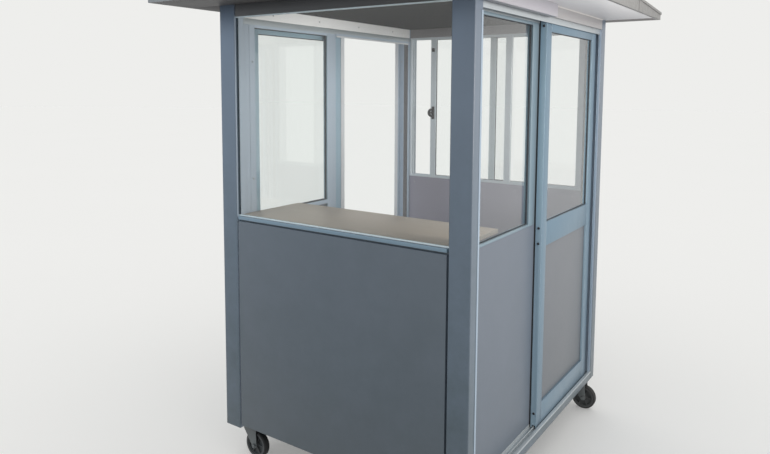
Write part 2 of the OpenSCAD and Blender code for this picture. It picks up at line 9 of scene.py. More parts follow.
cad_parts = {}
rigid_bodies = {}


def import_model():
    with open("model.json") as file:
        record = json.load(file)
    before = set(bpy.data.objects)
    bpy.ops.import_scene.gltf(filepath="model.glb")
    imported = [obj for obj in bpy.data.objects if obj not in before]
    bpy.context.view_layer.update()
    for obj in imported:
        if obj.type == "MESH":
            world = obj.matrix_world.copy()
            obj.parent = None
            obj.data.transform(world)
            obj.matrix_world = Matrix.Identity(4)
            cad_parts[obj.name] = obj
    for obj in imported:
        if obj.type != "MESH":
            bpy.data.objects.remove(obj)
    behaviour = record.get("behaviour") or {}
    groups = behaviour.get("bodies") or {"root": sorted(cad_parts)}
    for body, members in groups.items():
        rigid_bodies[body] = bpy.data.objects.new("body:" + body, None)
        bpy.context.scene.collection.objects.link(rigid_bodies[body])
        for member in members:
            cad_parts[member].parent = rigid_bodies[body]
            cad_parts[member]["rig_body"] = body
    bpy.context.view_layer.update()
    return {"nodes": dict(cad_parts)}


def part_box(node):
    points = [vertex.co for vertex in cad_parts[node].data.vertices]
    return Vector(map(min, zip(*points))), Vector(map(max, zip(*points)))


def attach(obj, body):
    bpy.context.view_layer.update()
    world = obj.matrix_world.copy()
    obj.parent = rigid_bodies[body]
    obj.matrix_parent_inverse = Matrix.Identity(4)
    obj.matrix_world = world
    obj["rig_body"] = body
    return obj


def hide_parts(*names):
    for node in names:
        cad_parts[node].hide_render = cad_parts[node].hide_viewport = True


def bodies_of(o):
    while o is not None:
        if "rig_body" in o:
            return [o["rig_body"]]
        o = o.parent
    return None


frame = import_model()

MM = 0.001
TOUCH = 0.05 * MM  # under a bead, seal or screw head on its face
SNUG = 0.1 * MM  # under a strip, cover or sheet on its face


# ---- camera ----------------------------------------------------------------------------

def place_camera():
    """A standing person's view of the front and the door side."""
    data = bpy.data.cameras.new("camera")
    data.sensor_width = 36.0
    data.lens = 31.08
    data.shift_y = -0.0978
    data.clip_end = 60.0
    camera = bpy.data.objects.new("camera", data)
    heading, pitch, roll = math.radians(34.24), math.radians(-5.36), math.radians(0.294)
    turn = Matrix.Rotation(heading, 4, "Z") @ Matrix.Rotation(math.pi / 2 + pitch, 4, "X")
    camera.matrix_world = (Matrix.Translation((1.6215, -2.7345, 1.710)) @ turn
                           @ Matrix.Rotation(roll, 4, "Z"))
    bpy.context.scene.collection.objects.link(camera)
    bpy.context.scene.camera = camera


place_camera()


# ---- node helpers ----------------------------------------------------------------------

def add(tree, kind, inputs=None, **settings):
    """A node with its settings and input values or links."""
    node = tree.nodes.new(kind)
    for key, value in settings.items():
        setattr(node, key, value)
    for key, value in (inputs or {}).items():
        if isinstance(value, bpy.types.NodeSocket):
            tree.links.new(value, node.inputs[key])
        else:
            node.inputs[key].default_value = value
    return node


def make_group(name, inputs, outputs):
    """An empty shader node group, and its input and output nodes."""
    tree = bpy.data.node_groups.new(name, "ShaderNodeTree")
    for label, kind, value in inputs:
        socket = tree.interface.new_socket(label, in_out="INPUT", socket_type=kind)
        socket.default_value = value
    for label, kind in outputs:
        tree.interface.new_socket(label, in_out="OUTPUT", socket_type=kind)
    return tree, tree.nodes.new("NodeGroupInput").outputs, tree.nodes.new("NodeGroupOutput")


def group_mottle():
    """Slow change of tone over a large surface."""
    tree, given, out = make_group("mottle", [
        ("Color", "NodeSocketColor", (0.5, 0.5, 0.5, 1)),
        ("Scale", "NodeSocketFloat", 3.0),
        ("Amount", "NodeSocketFloat", 0.06)], [("Color", "NodeSocketColor")])
    place = add(tree, "ShaderNodeTexCoord")
    noise = add(tree, "ShaderNodeTexNoise", {
        "Vector": place.outputs["Object"], "Scale": given["Scale"], "Detail": 5.0,
        "Roughness": 0.62})
    shift = add(tree, "ShaderNodeMath", {0: noise.outputs["Fac"], 1: 0.5}, operation="SUBTRACT")
    spread = add(tree, "ShaderNodeMath", {0: shift.outputs[0], 1: given["Amount"]},
                 operation="MULTIPLY")
    tone = add(tree, "ShaderNodeMath", {0: spread.outputs[0], 1: 2.0, 2: 1.0},
               operation="MULTIPLY_ADD")
    shade = add(tree, "ShaderNodeHueSaturation", {
        "Color": given["Color"], "Value": tone.outputs[0]})
    tree.links.new(shade.outputs[0], out.inputs["Color"])
    return tree


def group_grain():
    """Fine isotropic grain of a sprayed or cast surface."""
    tree, given, out = make_group("grain", [
        ("Scale", "NodeSocketFloat", 800.0),
        ("Waviness", "NodeSocketFloat", 0.0)], [
        ("Height", "NodeSocketFloat"), ("Value", "NodeSocketFloat")])
    place = add(tree, "ShaderNodeTexCoord")
    fine = add(tree, "ShaderNodeTexNoise", {
        "Vector": place.outputs["Object"], "Scale": given["Scale"], "Detail": 2.0})
    slow = add(tree, "ShaderNodeTexNoise", {
        "Vector": place.outputs["Object"], "Scale": 4.0, "Detail": 1.0})
    wave = add(tree, "ShaderNodeMath", {0: slow.outputs["Fac"], 1: given["Waviness"]},
               operation="MULTIPLY")
    total = add(tree, "ShaderNodeMath", {0: fine.outputs["Fac"], 1: wave.outputs[0]},
                operation="ADD")
    tree.links.new(total.outputs[0], out.inputs["Height"])
    tree.links.new(fine.outputs["Fac"], out.inputs["Value"])
    return tree


def group_drawn_lines():
    """Lines along one direction, from drawing, rolling or wood growth."""
    tree, given, out = make_group("drawn_lines", [
        ("Stretch", "NodeSocketVector", (1.0, 1.0, 0.02)),
        ("Scale", "NodeSocketFloat", 500.0)], [("Value", "NodeSocketFloat")])
    place = add(tree, "ShaderNodeTexCoord")
    along = add(tree, "ShaderNodeVectorMath", {
        0: place.outputs["Object"], 1: given["Stretch"]}, operation="MULTIPLY")
    lines = add(tree, "ShaderNodeTexNoise", {
        "Vector": along.outputs[0], "Scale": given["Scale"], "Detail": 3.0, "Roughness": 0.6})
    tree.links.new(lines.outputs["Fac"], out.inputs["Value"])
    return tree


def group_low_dust_and_shade():
    """Mask strongest at the bottom, broken by noise: for dust thrown up from the floor, and in
    the paints for painted shade towards the ground.
    """
    tree, given, out = make_group("low_dust_and_shade", [
        ("Reach", "NodeSocketFloat", 0.45),
        ("Amount", "NodeSocketFloat", 0.4)], [("Mask", "NodeSocketFloat")])
    place = add(tree, "ShaderNodeTexCoord")
    split = add(tree, "ShaderNodeSeparateXYZ", {0: place.outputs["Object"]})
    level = add(tree, "ShaderNodeMath", {0: split.outputs["Z"], 1: given["Reach"]},
                operation="DIVIDE")
    fall = add(tree, "ShaderNodeMath", {0: 1.0, 1: level.outputs[0]},
               operation="SUBTRACT", use_clamp=True)
    noise = add(tree, "ShaderNodeTexNoise", {
        "Vector": place.outputs["Object"], "Scale": 9.0, "Detail": 8.0, "Roughness": 0.7})
    broken = add(tree, "ShaderNodeMath", {0: fall.outputs[0], 1: noise.outputs["Fac"]},
                 operation="MULTIPLY")
    mask = add(tree, "ShaderNodeMath", {0: broken.outputs[0], 1: given["Amount"]},
               operation="MULTIPLY", use_clamp=True)
    tree.links.new(mask.outputs[0], out.inputs["Mask"])
    return tree


def group_worn_and_lit_edge():
    """Mask of sharp edges, where paint is thin; the lighter colour laid there is partly wear and
    partly a painted highlight.
    """
    tree, given, out = make_group("worn_and_lit_edge", [
        ("Radius", "NodeSocketFloat", 0.002)], [("Mask", "NodeSocketFloat")])
    rounded = add(tree, "ShaderNodeBevel", {"Radius": given["Radius"]}, samples=4)
    real = add(tree, "ShaderNodeNewGeometry")
    facing = add(tree, "ShaderNodeVectorMath", {
        0: rounded.outputs[0], 1: real.outputs["Normal"]}, operation="DOT_PRODUCT")
    mask = add(tree, "ShaderNodeMapRange", {
        "Value": facing.outputs["Value"], "From Min": 0.995, "From Max": 0.90})
    tree.links.new(mask.outputs[0], out.inputs["Mask"])
    return tree


GROUPS = {g.name: g for g in (group_mottle(), group_grain(), group_drawn_lines(),
                              group_low_dust_and_shade(), group_worn_and_lit_edge())}


class Finish:
    """A material under construction, with its Principled shader."""

    def __init__(self, name, color, roughness, metallic=0.0, specular=0.5):
        self.material = bpy.data.materials.new(name)
        self.material.use_nodes = True
        self.tree = self.material.node_tree
        self.shader = self.tree.nodes["Principled BSDF"]
        self.color = (*color, 1.0)
        self.shader.inputs["Base Color"].default_value = self.color
        self.shader.inputs["Roughness"].default_value = roughness
        self.shader.inputs["Metallic"].default_value = metallic
        self.shader.inputs["Specular IOR Level"].default_value = specular
        self.roughness = roughness
        self.top = None

    def use(self, group, **inputs):
        return add(self.tree, "ShaderNodeGroup", inputs, node_tree=GROUPS[group])

    def set_color(self, socket):
        self.top = socket
        self.tree.links.new(socket, self.shader.inputs["Base Color"])

    def mottle(self, scale, amount):
        node = self.use("mottle", Scale=scale, Amount=amount)
        if self.top is None:
            node.inputs["Color"].default_value = self.color
        else:
            self.tree.links.new(self.top, node.inputs["Color"])
        self.set_color(node.outputs["Color"])

    def cover(self, mask, color):
        """Lays another colour over the one so far where the mask is high."""
        mix = add(self.tree, "ShaderNodeMix", {"Factor": mask}, data_type="RGBA")
        if self.top is None:
            mix.inputs["A"].default_value = self.color
        else:
            self.tree.links.new(self.top, mix.inputs["A"])
        mix.inputs["B"].default_value = (*color, 1.0)
        self.set_color(mix.outputs["Result"])

    def dust(self, amount, reach=0.45, color=(0.40, 0.42, 0.43)):
        self.cover(self.use("low_dust_and_shade", Reach=reach, Amount=amount).outputs["Mask"], color)

    # lighter colour on sharp edges: partly worn finish, partly painted highlight
    def edges(self, color, share=0.5):
        mask = self.use("worn_and_lit_edge", Radius=1.5 * MM).outputs["Mask"]
        part = add(self.tree, "ShaderNodeMath", {0: mask, 1: share}, operation="MULTIPLY")
        self.cover(part.outputs[0], color)

    def vary_roughness(self, value, amount):
        node = add(self.tree, "ShaderNodeMapRange", {
            "Value": value, "From Min": 0.3, "From Max": 0.7,
            "To Min": self.roughness - amount, "To Max": self.roughness + amount})
        self.tree.links.new(node.outputs[0], self.shader.inputs["Roughness"])

    def bump(self, height, distance):
        node = add(self.tree, "ShaderNodeBump", {
            "Height": height, "Distance": distance, "Strength": 1.0})
        self.tree.links.new(node.outputs[0], self.shader.inputs["Normal"])

    def sprayed(self, scale, distance, waviness=0.0, spread=0.05):
        grain = self.use("grain", Scale=scale, Waviness=waviness)
        self.bump(grain.outputs["Height"], distance)
        self.vary_roughness(grain.outputs["Value"], spread)


# ---- finishes --------------------------------------------------------------------------

# colour of the painted shade that makes paint darker and greener towards the ground
LOW_SHADE = (0.035, 0.062, 0.062)
SPLASHED_DUST = (0.20, 0.20, 0.19)


def paint(name, color, roughness, mottle=0.05, waviness=0.0, low_shade=0.0, edge=None,
          specular=0.5):
    """Powder-coated or coil-coated metal, darker and greener towards the ground as painted shade,
    and dusty near the floor.
    """
    f = Finish(name, color, roughness, specular=specular)
    f.mottle(2.6, mottle)
    if edge:
        f.edges(edge)
    if low_shade:
        # painted shade: darker and greener over the whole height, most at the ground
        f.dust(low_shade, reach=2.1, color=LOW_SHADE)
        f.dust(0.22, reach=0.55, color=SPLASHED_DUST)
    f.sprayed(1100.0, 0.00004, waviness)
    return f.material


def drawn_metal(name, color, roughness, metallic, stretch, dust=0.0, edge=None):
    """Drawn or rolled profile with faint lines along its length."""
    f = Finish(name, color, roughness, metallic)
    f.mottle(3.5, 0.05)
    if edge:
        f.edges(edge, share=0.4)
    if dust:
        f.dust(dust)
    lines = f.use("drawn_lines", Stretch=stretch, Scale=420.0)
    f.vary_roughness(lines.outputs["Value"], 0.07)
    f.bump(lines.outputs["Value"], 0.00002)
    return f.material


def clear_glass(name, tint):
    """Float glass; its shadow is nearly clear."""
    f = Finish(name, tint, 0.0)
    f.shader.inputs["Transmission Weight"].default_value = 1.0
    f.shader.inputs["IOR"].default_value = 1.45
    smear = f.use("grain", Scale=3.0, Waviness=0.0)
    f.roughness = 0.012
    f.vary_roughness(smear.outputs["Value"], 0.010)
    tree = f.tree
    path = add(tree, "ShaderNodeLightPath")
    thin = add(tree, "ShaderNodeBsdfTransparent", {"Color": (0.93, 0.95, 0.95, 1)})
    mix = add(tree, "ShaderNodeMixShader", {
        0: path.outputs["Is Shadow Ray"], 1: f.shader.outputs[0], 2: thin.outputs[0]})
    tree.links.new(mix.outputs[0], tree.nodes["Material Output"].inputs["Surface"])
    return f.material


def wood_laminate(name):
    """Beige wood-look laminate with its grain along X."""
    f = Finish(name, (0.340, 0.275, 0.215), 0.42)
    broad = f.use("drawn_lines", Stretch=(0.06, 1.0, 1.0), Scale=26.0)
    f.cover(ramp(f, broad.outputs["Value"], 0.42, 0.68, 0.5), (0.37, 0.305, 0.25))
    fine = f.use("drawn_lines", Stretch=(0.02, 1.0, 1.0), Scale=260.0)
    f.cover(ramp(f, fine.outputs["Value"], 0.5, 0.72, 0.35), (0.20, 0.165, 0.135))
    f.vary_roughness(fine.outputs["Value"], 0.06)
    f.bump(fine.outputs["Value"], 0.00005)
    return f.material


def ramp(f, value, low, high, top):
    """Maps a value's range low to high onto 0 to top."""
    return add(f.tree, "ShaderNodeMapRange", {
        "Value": value, "From Min": low, "From Max": high, "To Min": 0.0, "To Max": top},
        interpolation_type="SMOOTHSTEP").outputs[0]


def rubber(name, color, dust):
    """Moulded rubber or sealant, dusty near the ground."""
    f = Finish(name, color, 0.62, specular=0.35)
    f.mottle(40.0, 0.25)
    if dust:
        f.dust(dust, reach=0.14, color=(0.20, 0.19, 0.17))
    f.sprayed(900.0, 0.00012, spread=0.08)
    return f.material


def speckled_sheet(name):
    """Vinyl floor sheet with light and dark specks."""
    f = Finish(name, (0.20, 0.21, 0.21), 0.5)
    specks = f.use("grain", Scale=420.0)
    f.cover(ramp(f, specks.outputs["Value"], 0.60, 0.66, 0.6), (0.42, 0.43, 0.43))
    f.cover(ramp(f, specks.outputs["Value"], 0.42, 0.34, 0.6), (0.09, 0.09, 0.10))
    f.mottle(3.0, 0.12)
    f.sprayed(500.0, 0.00005)
    return f.material


def zinc_sheet(name, color):
    """Rolled coated sheet with a faint spangle."""
    f = Finish(name, color, 0.55, 0.25)
    place = add(f.tree, "ShaderNodeTexCoord")
    cells = add(f.tree, "ShaderNodeTexVoronoi", {
        "Vector": place.outputs["Object"], "Scale": 60.0})
    flakes = add(f.tree, "ShaderNodeSeparateColor", {0: cells.outputs["Color"]})
    f.cover(ramp(f, flakes.outputs[0], 0.0, 1.0, 0.16), tuple(0.7 * c for c in color))
    f.mottle(1.6, 0.12)
    f.vary_roughness(flakes.outputs[1], 0.06)
    f.bump(f.use("grain", Scale=90.0, Waviness=1.0).outputs["Height"], 0.0001)
    return f.material


# lighter colour for the sharp edges of paints: partly worn paint, partly painted highlight
WORN_AND_LIT_EDGE = (0.36, 0.42, 0.47)
UPRIGHT, LEVEL_X, LEVEL_Y = (1, 1, 0.02), (0.02, 1, 1), (1, 0.02, 1)

MATERIALS = {
    # the amounts of darkening towards the ground in these paints are painted shade
    "slate": paint("slate_paint", (0.147, 0.186, 0.238), 0.34, 0.08, low_shade=1.05,
                   edge=WORN_AND_LIT_EDGE),
    "rail": paint("sill_rail_paint", (0.185, 0.265, 0.325), 0.34, 0.08, edge=WORN_AND_LIT_EDGE),
    # dark grey, darker still as painted shade of the roof's overhang
    "header": paint("header_paint", (0.100, 0.099, 0.099), 0.45, 0.10, specular=0.3),
    "panel": paint("panel_paint", (0.114, 0.136, 0.165), 0.40, 0.09, waviness=40.0,
                   low_shade=0.65),
    "liner": paint("liner_paint", (0.255, 0.245, 0.300), 0.42, 0.06, waviness=30.0),
    "beam_liner": paint("beam_liner_paint", (0.86, 0.86, 0.86), 0.38, 0.06, waviness=20.0),
    "end_liner": paint("end_liner_paint", (0.200, 0.192, 0.200), 0.42, 0.06, waviness=30.0),
    "pelmet": paint("pelmet_paint", (0.35, 0.355, 0.395), 0.34, 0.06, edge=WORN_AND_LIT_EDGE),
    "inner_alu": drawn_metal("inner_aluminium", (0.41, 0.49, 0.58), 0.40, 0.1, UPRIGHT),
    "alu": drawn_metal("door_aluminium", (0.146, 0.232, 0.308), 0.34, 0.35, UPRIGHT, 0.60,
                       (0.55, 0.62, 0.67)),
    "edge_alu": drawn_metal("door_edge_aluminium", (0.350, 0.490, 0.590), 0.34, 0.20, UPRIGHT,
                            0.25, (0.55, 0.62, 0.67)),
    "post_edge_strip": drawn_metal("post_edge_strip", (0.31, 0.40, 0.49), 0.34, 0.1, UPRIGHT),
    "pale_header": paint("pale_header_paint", (0.33, 0.335, 0.345), 0.40, 0.08,
                         waviness=20.0),
    "leaf_alu": drawn_metal("leaf_aluminium", (0.215, 0.295, 0.350), 0.36, 0.30, UPRIGHT, 0.25,
                            (0.60, 0.66, 0.70)),
    "alu_level": drawn_metal("track_aluminium", (0.42, 0.47, 0.50), 0.34, 0.4, LEVEL_Y, 0.30,
                             (0.60, 0.66, 0.70)),
    "pale": drawn_metal("window_aluminium", (0.52, 0.57, 0.61), 0.40, 0.10, UPRIGHT, 0.0,
                        (0.74, 0.77, 0.79)),
    "infill": paint("infill_sheet", (0.160, 0.175, 0.198), 0.42, 0.05, waviness=25.0,
                    low_shade=0.3),
    "leaf_infill": paint("leaf_infill_sheet", (0.136, 0.164, 0.206), 0.42, 0.05,
                         waviness=25.0, low_shade=0.3),
    "laminate": wood_laminate("counter_laminate"),
    "edge_band": paint("counter_edge", (0.20, 0.185, 0.165), 0.40, 0.08),
    "floor": speckled_sheet("floor_vinyl"),
    "ceiling": paint("gloss_ceiling", (0.075, 0.075, 0.077), 0.40, 0.10, waviness=6.0,
                     specular=0.0),
    # shaded and lit copies of one sheet: painted shade on the front, rear and left boards,
    # painted light on the right board
    "soffit": paint("soffit_painted_shade_sheet", (0.17, 0.165, 0.165), 0.55, 0.10, waviness=12.0,
                    specular=0.15),
    "soffit_painted_lit": paint("soffit_painted_lit_sheet", (0.64, 0.64, 0.655), 0.45, 0.05,
                          waviness=12.0, specular=0.10),
    "roof": zinc_sheet("roof_zinc", (0.235, 0.240, 0.240)),
    "steel": drawn_metal("zinc_plate", (0.34, 0.35, 0.36), 0.42, 0.7, UPRIGHT, 0.6,
                         (0.5, 0.5, 0.5)),
    "caster_steel": drawn_metal("caster_zinc", (0.115, 0.130, 0.135), 0.40, 0.6, UPRIGHT, 0.2,
                                (0.30, 0.30, 0.30)),
    "rubber": rubber("wheel_rubber", (0.014, 0.015, 0.016), 0.15),
    "gasket": rubber("glazing_rubber", (0.045, 0.052, 0.060), dust=0.0),
    "dark_bead": paint("dark_bead", (0.040, 0.060, 0.078), 0.4, 0.1),
    # pale metal bead, brightened with a painted highlight of the edge catching the light
    "bead_painted_highlight": drawn_metal("bead_painted_highlight", (0.62, 0.70, 0.72), 0.30, 0.3, LEVEL_X),
    "sealant": rubber("pale_sealant", (0.70, 0.70, 0.69), dust=0.0),
    "pile": rubber("brush_pile", (0.030, 0.031, 0.034), dust=0.0),
    # white for the closing strips' cabin faces, the left jamb's lip and the head track beads:
    # painted sunlight
    "painted_sunlight_white": paint("painted_sunlight_white", (0.66, 0.68, 0.71), 0.35, 0.04),
    # dark colour for the rear jambs' unused channel: painted shade of its depth
    "jamb_shade_fill": paint("jamb_shade_fill", (0.115, 0.112, 0.118), 0.45, 0.08),
    "hub": paint("hub_grey", (0.055, 0.060, 0.062), 0.40, 0.1),
    "dark_screw": drawn_metal("dark_screw", (0.05, 0.05, 0.055), 0.4, 0.8, UPRIGHT),
    "bright_screw": drawn_metal("bright_screw", (0.50, 0.51, 0.52), 0.30, 0.9, UPRIGHT),
    "black_latch": paint("latch_black", (0.015, 0.015, 0.017), 0.3, 0.1),
    "glass": clear_glass("clear_glass", (0.97, 0.985, 0.98)),
}


# ---- making pieces ---------------------------------------------------------------------

def finish_piece(name, bm, material, body, smooth=0.0):
    """A piece from a bmesh, riding on its body. Faces turn smooth below the given angle."""
    bmesh.ops.recalc_face_normals(bm, faces=bm.faces)
    mesh = bpy.data.meshes.new(name)
    bm.to_mesh(mesh)
    bm.free()
    if smooth:
        mesh.shade_smooth()
        mesh.set_sharp_from_angle(angle=math.radians(smooth))
    mesh.materials.append(MATERIALS[material])
    piece = bpy.data.objects.new(name, mesh)
    bpy.context.scene.collection.objects.link(piece)
    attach(piece, body)
    return piece


def body_of(node):
    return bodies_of(frame["nodes"][node])[0]


def solids(node):
    """Lowest and highest corner of each separate solid of a CAD node."""
    bm = bmesh.new()
    bm.from_mesh(frame["nodes"][node].data)
    bmesh.ops.remove_doubles(bm, verts=bm.verts, dist=1e-5)
    waiting, boxes = set(bm.verts), []
    while waiting:
        island, fresh = [], [waiting.pop()]
        while fresh:
            vert = fresh.pop()
            island.append(vert.co.copy())
            for edge in vert.link_edges:
                other = edge.other_vert(vert)
                if other in waiting:
                    waiting.discard(other)
                    fresh.append(other)
        boxes.append(tuple(Vector(f(p[i] for p in island) for i in range(3))
                           for f in (min, max)))
    bm.free()
    return sorted(boxes, key=lambda b: tuple(round(c, 4) for c in (*b[0], *b[1])))


def loops_to_faces(bm, loops, closed):
    """Bands of faces between loops of vertices, from the last to the first too if closed."""
    pairs = list(zip(loops, loops[1:] + loops[:1])) if closed else list(zip(loops, loops[1:]))
    for a, b in pairs:
        for k in range(len(a)):
            n = (k + 1) % len(a)
            bm.faces.new((a[k], a[n], b[n], b[k]))


def closed_solid(bm, loops):
    """Bands of faces between loops of vertices, and a face over each end."""
    loops_to_faces(bm, loops, closed=False)
    bm.faces.new(loops[0])
    bm.faces.new(loops[-1])


def mitred_ring(bm, low, high, across, section):
    """Sweeps a section round a rectangle with mitred corners. Its points are (inset from the
    rectangle's edge, place along the axis across)."""
    u, v = [i for i in range(3) if i != across]
    loops = []
    for inset, level in section:
        loop = []
        for su, sv in ((0, 0), (1, 0), (1, 1), (0, 1)):
            co = Vector((0, 0, 0))
            co[across] = level
            co[u] = high[u] - inset if su else low[u] + inset
            co[v] = high[v] - inset if sv else low[v] + inset
            loop.append(bm.verts.new(co))
        loops.append(loop)
    loops_to_faces(bm, loops, closed=True)


def bar(bm, along, start, end, section):
    """A straight bar along an axis; the section's points are places on the other two axes."""
    u, v = [i for i in range(3) if i != along]
    loops = []
    for place in (start, end):
        loop = []
        for a, b in section:
            co = Vector((0, 0, 0))
            co[along], co[u], co[v] = place, a, b
            loop.append(bm.verts.new(co))
        loops.append(loop)
    closed_solid(bm, loops)


def eased(low, high, r):
    """Section of a bar between two corners, with its edges cut back by r."""
    (a0, b0), (a1, b1) = low, high
    return [(a0 + r, b0), (a1 - r, b0), (a1, b0 + r), (a1, b1 - r),
            (a1 - r, b1), (a0 + r, b1), (a0, b1 - r), (a0, b0 + r)]


def turned(bm, point, axis, outline, count=24):
    """A body turned about an axis through a point, from (radius, height) pairs. A radius of
    zero closes an end."""
    spin = Vector(axis).to_track_quat("Z", "Y").to_matrix()
    loops = []
    for radius, height in outline:
        if radius == 0:
            loops.append(bm.verts.new(Vector(point) + spin @ Vector((0, 0, height))))
            continue
        loops.append([bm.verts.new(Vector(point) + spin @ Vector((
            radius * math.cos(2 * math.pi * k / count),
            radius * math.sin(2 * math.pi * k / count), height))) for k in range(count)])
    for a, b in zip(loops, loops[1:]):
        for k in range(count):
            n = (k + 1) % count
            if isinstance(a, bmesh.types.BMVert):
                bm.faces.new((a, b[n], b[k]))
            elif isinstance(b, bmesh.types.BMVert):
                bm.faces.new((a[k], a[n], b))
            else:
                bm.faces.new((a[k], a[n], b[n], b[k]))


# ---- CAD nodes with eased edges --------------------------------------------------------


def softened(node, material, width=1.0 * MM, second=None, chosen=None):
    """Stands for a CAD node with its flat faces joined up and its edges rounded. Faces that
    chosen(centre, normal) picks get the second material."""
    bm = bmesh.new()
    bm.from_mesh(frame["nodes"][node].data)
    bmesh.ops.remove_doubles(bm, verts=bm.verts, dist=1e-5)
    bmesh.ops.dissolve_limit(bm, angle_limit=math.radians(0.5), verts=bm.verts, edges=bm.edges)
    sharp = [e for e in bm.edges if len(e.link_faces) == 2
             and e.calc_face_angle(0) > math.radians(35)]
    bmesh.ops.bevel(bm, geom=sharp, offset=width, segments=2, profile=0.6, affect="EDGES",
                    clamp_overlap=True)
    if second:
        bm.normal_update()
        for face in bm.faces:
            if chosen(face.calc_center_median(), face.normal):
                face.material_index = 1
    piece = finish_piece(node + "_finished", bm, material, body_of(node),
                         smooth=32)
    if second:
        piece.data.materials.append(MATERIALS[second])
    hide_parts(node)


mid_x, mid_y = ((a + b) / 2 for a, b in list(zip(*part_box("posts")))[:2])


TALL = 1.5  # a stile is taller, a rail is not
FRONT_LINE = mid_y - 0.3  # the front stiles end before it


def stiles_of(node):
    """The upright bars among the solids of a leaf or door frame."""
    return [b for b in solids(node) if b[1].z - b[0].z > TALL]


def front_stiles():
    """The fixed leaves' stiles beside the front posts."""
    return [b for b in stiles_of("fixed_leaf_frame") if b[1].y < FRONT_LINE]


def inner_face(low, high):
    """A solid's face towards the cabin, as its place across the booth and the way it looks."""
    return (low.x, -1) if low.x > mid_x else (high.x, 1)


def outer_face(low, high):
    """The same for its face away from the cabin."""
    return (high.x, 1) if low.x > mid_x else (low.x, -1)


def layer(face, out, thick):
    """Both planes of a sheet laid on a face, the far one thick away from it."""
    return sorted((face + out * SNUG, face + out * thick))


def faces_inwards(centre, normal):
    """Faces of walls and headers that look into the cabin."""
    return (abs(normal.x) > 0.9 and (centre.x - mid_x) * normal.x < -0.3
            or abs(normal.y) > 0.9 and (centre.y - mid_y) * normal.y < -0.3)


SOFTENED = {
    "slate": ["base_frame", "base_sides"],
    "pelmet": ["door_pelmet"],
    "alu_level": ["head_track", "sill_track"],
    "infill": ["fixed_leaf_panel", "door_panel", "left_door_panel"],
    "floor": ["floor_deck"],
    "ceiling": ["ceiling"],
    "roof": ["fascia", "roof_ribs", "roof_deck"],
    "steel": ["counter_brackets", "door_rollers", "left_door_rollers", "caster_plates"],
}
LINED = {  # node: its material outside, and on the faces that look into the cabin
    "front_wall": ("panel", "liner"), "rear_wall": ("panel", "liner"),
    # dark outer paint of the header ends: partly painted shade of the roof's overhang
    "header_ends": ("header", "end_liner"), "header_sides": ("pale_header", "beam_liner"),
    "posts": ("slate", "inner_alu"), "door_jambs": ("alu", "inner_alu"),
    "fixed_leaf_frame": ("leaf_alu", "inner_alu")}
TREAD = 15.0 * MM  # thickness of a tyre
CORNERS = ["front_left", "front_right", "rear_left", "rear_right"]

for material, nodes in SOFTENED.items():
    for node in nodes:
        softened(node, material)
for node, (material, lining) in LINED.items():
    softened(node, material, second=lining, chosen=faces_inwards)
right_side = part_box("posts")[1][0]
# painted light on the right board of the soffit, painted shade on the others
softened("soffit", "soffit", second="soffit_painted_lit",
         chosen=lambda centre, normal: centre.x > right_side)
for node in ("door_frame", "left_door_frame"):
    softened(node, "alu", second="edge_alu",
             chosen=lambda centre, normal: normal.y < -0.9 or faces_inwards(centre, normal))
softened("sill_rail", "rail", second="slate",
         chosen=lambda centre, normal: normal.z > 0.9)
softened("counter_top", "laminate", second="edge_band",
         chosen=lambda centre, normal: abs(normal.z) < 0.5)
for corner in CORNERS:
    softened("fork_" + corner, "caster_steel", 0.6 * MM)
    low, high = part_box("wheel_" + corner)
    axle = (Vector(low) + Vector(high)) / 2
    rim = (high[2] - low[2]) / 2 - TREAD
    softened("wheel_" + corner, "rubber", 0.6 * MM, second="hub",
             chosen=lambda centre, normal, axle=axle, rim=rim:
             math.hypot(centre.x - axle.x, centre.z - axle.z) < rim - 0.2 * MM)
for node in ("fixed_leaf_glass", "door_glass", "left_door_glass"):
    pane = frame["nodes"][node].data
    pane.materials.clear()
    pane.materials.append(MATERIALS["glass"])


# ---- glazing of the cabin's ends -------------------------------------------------------

def slab(bm, low, high, ease=0.6 * MM):
    """A flat board or pane between two corners, with its long edges eased."""
    bar(bm, 2, low[2], high[2], eased((low[0], low[1]), (high[0], high[1]), ease))


def opening(below, above):
    """Corners of the opening between the posts, over one node and under another."""
    left, right = sorted((b[0].x, b[1].x) for b in solids("posts"))[::3]
    return (left[1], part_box(below)[1][2]), (right[0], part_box(above)[0][2])


def front_pane():
    """The fixed front pane, held by thin beads on its four edges."""
    (x0, z0), (x1, z1) = opening("sill_rail", "header_ends")
    (_, y0, _), (_, y1, _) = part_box("front_glass")
    edge, bead, proud = 1.5 * MM, 5.5 * MM, 3.4 * MM
    bm = bmesh.new()
    slab(bm, (x0 + edge, y0, z0 + edge), (x1 - edge, y1, z1 - edge))
    pane = finish_piece("front_pane", bm, "glass", "booth")
    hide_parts("front_glass")
    faces = ((y0 - proud, y0 - TOUCH), (y1 + TOUCH, y1 + proud))
    bm = bmesh.new()
    for ya, yb in faces:
        for x in (x0 + SNUG, x1 - SNUG - bead):
            bar(bm, 2, z0 + bead, z1 - bead, eased((x, ya), (x + bead, yb), 0.8 * MM))
    finish_piece("front_side_beads", bm, "dark_bead", "booth")
    # The top and bottom beads are pale and bright: partly their own colour, partly a painted
    # highlight of the edge catching the light.
    bm = bmesh.new()
    for ya, yb in faces:
        for z in (z0 + SNUG, z1 - SNUG - bead):
            bar(bm, 0, x0 + SNUG, x1 - SNUG,
                eased((ya, z), (yb, z + bead), 0.8 * MM))
    beads = finish_piece("front_level_beads", bm, "bead_painted_highlight", "booth")
    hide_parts("front_glazing_bars")


front_pane()


SASH_ENTRY = 6 * MM  # how far a rear pane enters its sash


